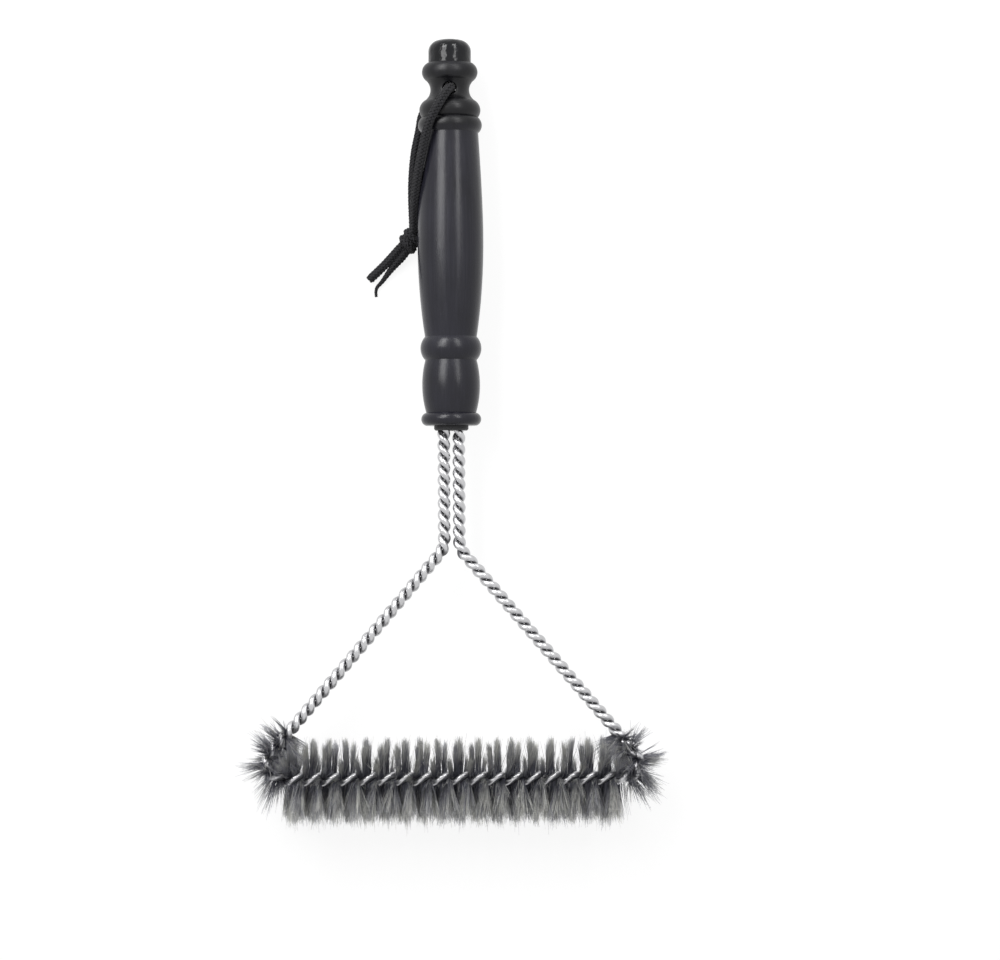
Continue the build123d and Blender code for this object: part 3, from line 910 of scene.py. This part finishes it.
class GRILLBRUSH_OT_lanyard(bpy.types.Operator):
    """Lays the braided lanyard from the neck's hole to its knot and two tails"""

    bl_idname = "grill_brush.lanyard"
    bl_label = "Lanyard"

    def execute(self, context):
        brush = context.scene.grill_brush
        material = cord_finish(brush.colours)
        front = smooth_route(FRONT_ROUTE)
        rear = smooth_route(REAR_ROUTE)
        front_length = line_length(front)
        rear_length = line_length(rear)

        def blunt(distance):
            left = front_length - distance
            return 1.0 - BLUNT_END_LOSS * max(0.0, 1.0 - left / BLUNT_END_RUN) ** 2

        def frayed(distance):
            left = max(rear_length - distance, 0.0)
            kept = min(left / FRAYED_END_RUN, 1.0) ** FRAYED_END_CURVE
            return FRAYED_END_WIDTH + (1 - FRAYED_END_WIDTH) * kept

        def even(distance):
            return 1.0

        front_cord = braid("lanyard_cord_front", front, brush.sizes, blunt, seed=3)
        rear_cord = braid("lanyard_cord_rear", rear, brush.sizes, frayed, seed=4)
        knot = braid("lanyard_knot_wraps", self.knot_line(brush.sizes), brush.sizes, even, seed=5)
        put_on(front_cord, material, ("lanyard_front", "lanyard_tail_long"))
        put_on(rear_cord, material, ("lanyard_rear", "lanyard_tail_short"))
        put_on(knot, material, ("lanyard_knot",))
        return {"FINISHED"}

    def knot_line(self, sizes):
        """About three slanting turns round the doubled cord, with their ends drawn inside."""
        across = KNOT_AXIS.cross(UP).normalized()
        route = []
        for number in range(KNOT_POINTS + 1):
            share = number / KNOT_POINTS
            angle = math.tau * KNOT_TURNS * share + KNOT_START_ANGLE
            swell = min(1.0, KNOT_START_SWELL + share * KNOT_SWELLING, (1 - share) * KNOT_SHRINKING)
            radius = sizes.knot_winding * (KNOT_END_RADIUS + (1 - KNOT_END_RADIUS) * swell)
            forward = (share - KNOT_SHARE_BEHIND) * KNOT_RUN
            around = across * math.cos(angle) + UP * math.sin(angle)
            route.append(KNOT_CENTRE + KNOT_AXIS * forward + around * radius)
        return smooth_route(route, KNOT_RESOLUTION)


class GRILLBRUSH_OT_handle(bpy.types.Operator):
    """Finishes the handle, its end cap and the plug in its mouth"""

    bl_idname = "grill_brush.handle"
    bl_label = "Handle"

    def execute(self, context):
        colours = context.scene.grill_brush.colours
        for node, name, colour, roughness, far_roughness, grain, streaks, waves in (
            ("handle_grip", "handle_plastic", colours.handle, 0.26, 0.37, 0.5, 0.8, 0.0),
            ("end_cap", "cap_plastic", colours.cap, 0.14, 0.14, 0.15, 0.1, 9.0),
            ("socket_plug", "plug_plastic", colours.plug, 0.5, 0.5, 0.8, 0.2, 0.0),
        ):
            repaint(node, plastic_finish(name, colour, roughness, far_roughness, grain, streaks, waves))
        return {"FINISHED"}


class GRILLBRUSH_OT_wire(bpy.types.Operator):
    """Finishes the two twisted strands"""

    bl_idname = "grill_brush.wire"
    bl_label = "Wire"

    def execute(self, context):
        material = wire_finish(context.scene.grill_brush.colours)
        repaint("core_wire_a", material)
        repaint("core_wire_b", material)
        return {"FINISHED"}


class GRILLBRUSH_OT_bristles(bpy.types.Operator):
    """Grows the filaments of the straight head and of its two corners"""

    bl_idname = "grill_brush.bristles"
    bl_label = "Bristles"

    def execute(self, context):
        brush = context.scene.grill_brush
        material = bristle_finish(brush.colours)
        stretch = 2 * HEAD_STRAIGHT / HEAD_PIECES
        for number in range(HEAD_PIECES):
            low = number * stretch - HEAD_STRAIGHT
            head = head_bristles(brush.sizes, low, low + stretch, seed=number + 11)
            head.piece(f"head_bristles_{number + 1}", material, "bristle_strip")
        right = corner_bristles(brush.sizes, 1, brush.sizes.lean_right, seed=21, tufts=RIGHT_TUFTS)
        right.piece("corner_bristles_right", material, "bristle_fan_right")
        left = corner_bristles(brush.sizes, -1, brush.sizes.lean_left, seed=22)
        left.piece("corner_bristles_left", material, "bristle_fan_left")
        return {"FINISHED"}


class GRILLBRUSH_OT_stage(bpy.types.Operator):
    """Adds the pale floor, the plain surroundings and long soft lamps on both sides"""

    bl_idname = "grill_brush.stage"
    bl_label = "Stage"

    def execute(self, context):
        scene = context.scene
        scene.view_settings.view_transform = "Standard"
        self.floor(scene)
        self.surroundings(scene)
        for side, tilt, width in LAMP_SIDES:
            for stretch, start, length, radiance in LAMP_STRETCHES:
                self.lamp(scene, f"lamp_{stretch}_{side}", tilt, width, start, length, radiance)
        return {"FINISHED"}

    def floor(self, scene):
        shapes = bmesh.new()
        bmesh.ops.create_grid(
            shapes, x_segments=FLOOR_SQUARES, y_segments=FLOOR_SQUARES, size=FLOOR_HALF_SIDE
        )
        mesh = bpy.data.meshes.new("floor")
        shapes.to_mesh(mesh)
        shapes.free()
        floor = bpy.data.objects.new("floor", mesh)
        scene.collection.objects.link(floor)
        finish = Finish("floor")
        glow = finish.blend(seen_ray(finish), BLACK, WHITE)
        finish.surface(Base_Color=opaque(scene.grill_brush.colours.floor), Emission_Color=glow)
        finish.surface(Roughness=1.0, Specular_IOR_Level=0.0, Emission_Strength=FLOOR_GLOW)
        mesh.materials.append(finish.material)

    def surroundings(self, scene):
        world = bpy.data.worlds.new("surroundings")
        world.use_nodes = True
        scene.world = world
        sky = Finish("sky", world.node_tree, "Background")
        sky.surface(Color=WHITE, Strength=sky.fade(seen_ray(sky), 0.0, 1.0, SKY_LIGHT, SKY_SEEN))

    def lamp(self, scene, name, tilt, width, start, length, radiance):
        """A soft lamp above one side of the brush, turned towards its middle line."""
        data = bpy.data.lights.new(name, "AREA")
        data.shape = "RECTANGLE"
        data.size = width
        data.size_y = length
        data.energy = radiance * math.pi * width * length
        lamp = bpy.data.objects.new(name, data)
        lamp.location = (math.sin(tilt) * LAMP_DISTANCE, start + length / 2, math.cos(tilt) * LAMP_DISTANCE)
        lamp.rotation_euler = (0.0, tilt, 0.0)
        scene.collection.objects.link(lamp)


OPERATORS = (
    GRILLBRUSH_OT_camera,
    GRILLBRUSH_OT_lanyard,
    GRILLBRUSH_OT_handle,
    GRILLBRUSH_OT_wire,
    GRILLBRUSH_OT_bristles,
    GRILLBRUSH_OT_stage,
)


class GRILLBRUSH_PT_panel(bpy.types.Panel):
    """Lists the brush's pieces and settings"""

    bl_idname = "GRILLBRUSH_PT_panel"
    bl_label = "Grill Brush"
    bl_space_type = "VIEW_3D"
    bl_region_type = "UI"
    bl_category = "Grill Brush"

    def draw(self, context):
        brush = context.scene.grill_brush
        for operator in OPERATORS:
            self.layout.operator(operator.bl_idname)
        for group in (brush.sizes, brush.colours):
            box = self.layout.box()
            for key in group.__annotations__:
                box.prop(group, key)


CLASSES = (GrillBrushSizes, GrillBrushColours, GrillBrush, *OPERATORS, GRILLBRUSH_PT_panel)


def register():
    for entry in CLASSES:
        bpy.utils.register_class(entry)
    bpy.types.Scene.grill_brush = bpy.props.PointerProperty(type=GrillBrush)


def unregister():
    del bpy.types.Scene.grill_brush
    for entry in reversed(CLASSES):
        bpy.utils.unregister_class(entry)


def main():
    register()
    bpy.ops.grill_brush.camera()
    bpy.ops.grill_brush.lanyard()
    bpy.ops.grill_brush.handle()
    bpy.ops.grill_brush.wire()
    bpy.ops.grill_brush.bristles()
    bpy.ops.grill_brush.stage()


if __name__ == "__main__":
    main()
